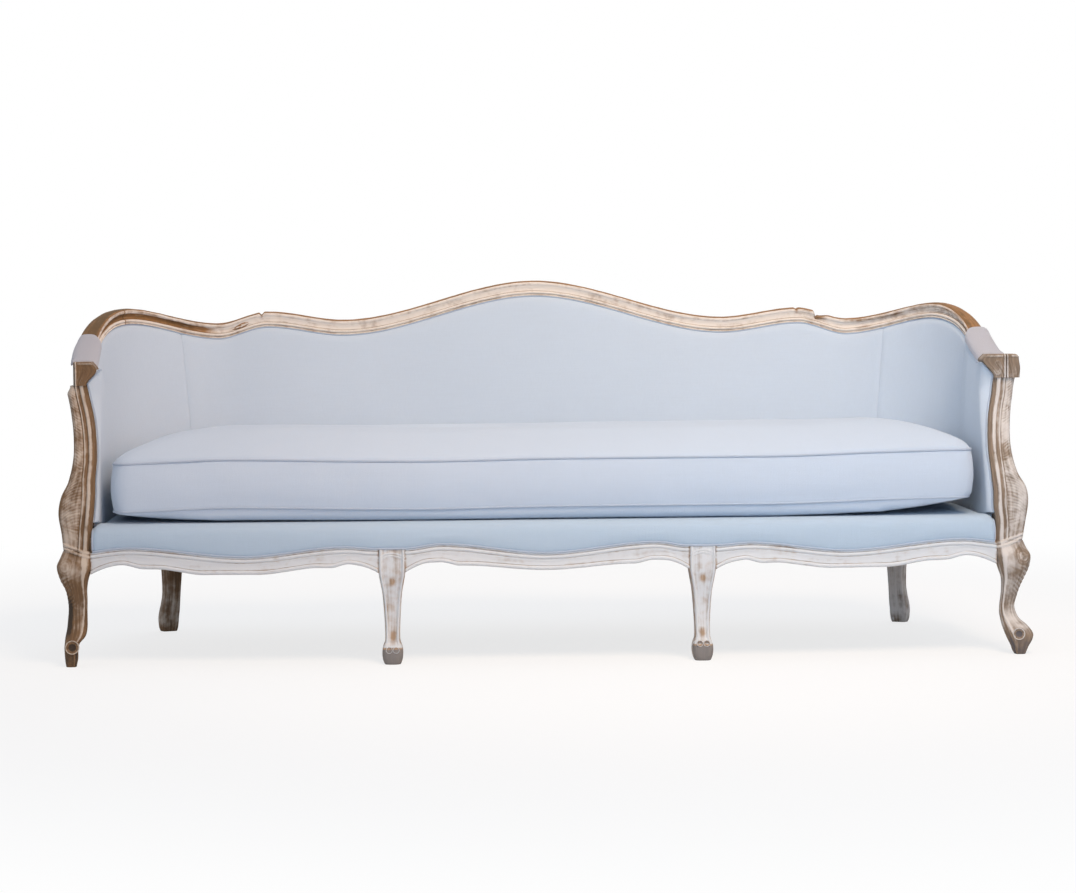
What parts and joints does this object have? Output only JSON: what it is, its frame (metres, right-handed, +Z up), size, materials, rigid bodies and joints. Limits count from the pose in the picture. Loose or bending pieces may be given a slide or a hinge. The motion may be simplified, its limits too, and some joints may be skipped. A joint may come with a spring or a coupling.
{
  "type": "camel-back sofa",
  "caption": "Settee with a carved wooden frame, wrap-round upholstered back and arms, and a loose bench cushion.",
  "frame": {"origin": "on the floor, in the middle of the width and of the depth", "axes": "+X across the sofa towards the right-hand arm as seen from the front, +Y towards the back, +Z up; the front rail faces -Y"},
  "size_m": [2.438, 0.825, 0.95],
  "materials": {
    "limed_wood": "limed, dry waxed",
    "aged_wood": "pickled, lime left in the carving",
    "frame_wood": "plain, unfinished",
    "linen": "pale blue linen",
    "cushion_linen": "pale blue linen, piped",
    "webbing": "woven jute",
    "dust_cloth": "thin black cloth"
  },
  "bodies": {
    "frame": {"arm_pad_left": "linen", "arm_pad_right": "linen", "arm_rail_left": "aged_wood", "arm_rail_right": "aged_wood", "arm_support_left": "aged_wood", "arm_support_right": "aged_wood", "back_rail": "aged_wood", "back_upright_inner_left": "frame_wood", "back_upright_inner_right": "frame_wood", "back_upright_outer_left": "frame_wood", "back_upright_outer_right": "frame_wood", "back_webbing": "webbing", "corner_block_left": "frame_wood", "corner_block_right": "frame_wood", "crest_corner_left": "aged_wood", "crest_corner_right": "aged_wood", "crest_rail_left": "aged_wood", "crest_rail_right": "aged_wood", "deck_pad": "linen", "dust_cover": "dust_cloth", "front_border": "linen", "front_leg_left": "aged_wood", "front_leg_right": "aged_wood", "front_rail_centre": "limed_wood", "front_rail_left": "limed_wood", "front_rail_right": "limed_wood", "inside_back": "linen", "inside_wing_left": "linen", "inside_wing_right": "linen", "middle_leg_left": "limed_wood", "middle_leg_right": "limed_wood", "outside_arm_left": "linen", "outside_arm_right": "linen", "outside_back": "linen", "rear_leg_left": "aged_wood", "rear_leg_right": "aged_wood", "seat_cross_rail_left": "frame_wood", "seat_cross_rail_right": "frame_wood", "seat_webbing_deep": "webbing", "seat_webbing_long": "webbing", "side_rail_left": "aged_wood", "side_rail_right": "aged_wood", "support_tenons": "frame_wood"},
    "cushion": {"seat_cushion": "cushion_linen"}
  },
  "joints": [
    {"name": "cushion_lift", "type": "slide", "parent": "frame", "child": "cushion", "axis": [0, 0, 1], "range_m": [0, 0.3]}
  ]
}
